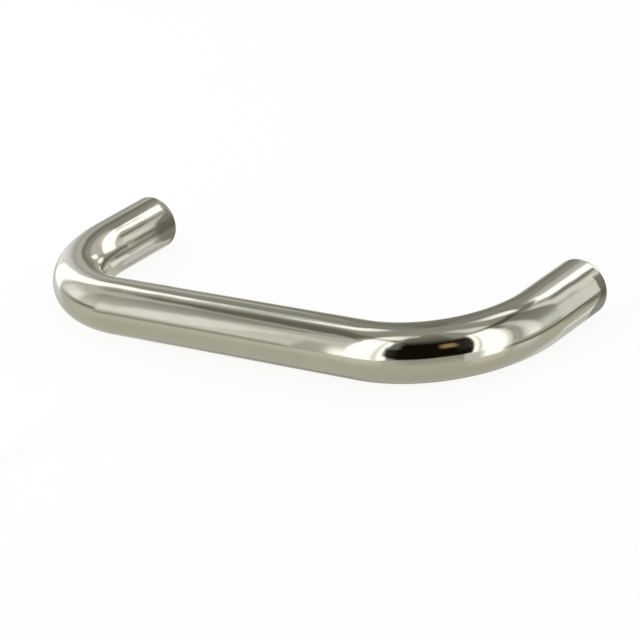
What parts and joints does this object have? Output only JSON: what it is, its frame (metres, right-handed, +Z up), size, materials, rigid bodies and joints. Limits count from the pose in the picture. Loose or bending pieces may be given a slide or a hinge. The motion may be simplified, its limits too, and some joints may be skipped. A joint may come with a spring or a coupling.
{
  "type": "wire pull handle",
  "caption": "Wire pull handle for a drawer or cabinet door: a round polished rod bent into a shallow U, with a straight grip, rounded corners and a tapped screw hole in the end of each leg.",
  "frame": {"origin": "on the mounting face, midway between the two screw holes", "axes": "+X along the grip, +Y into the drawer front so that -Y points out towards the hand, +Z up the drawer front, square to the plane of the bent rod"},
  "size_m": [0.0842, 0.0318, 0.008],
  "materials": {
    "polished_nickel": "mirror-polished nickel plate on steel rod"
  },
  "bodies": {
    "root": {"handle": "polished_nickel"}
  },
  "joints": []
}
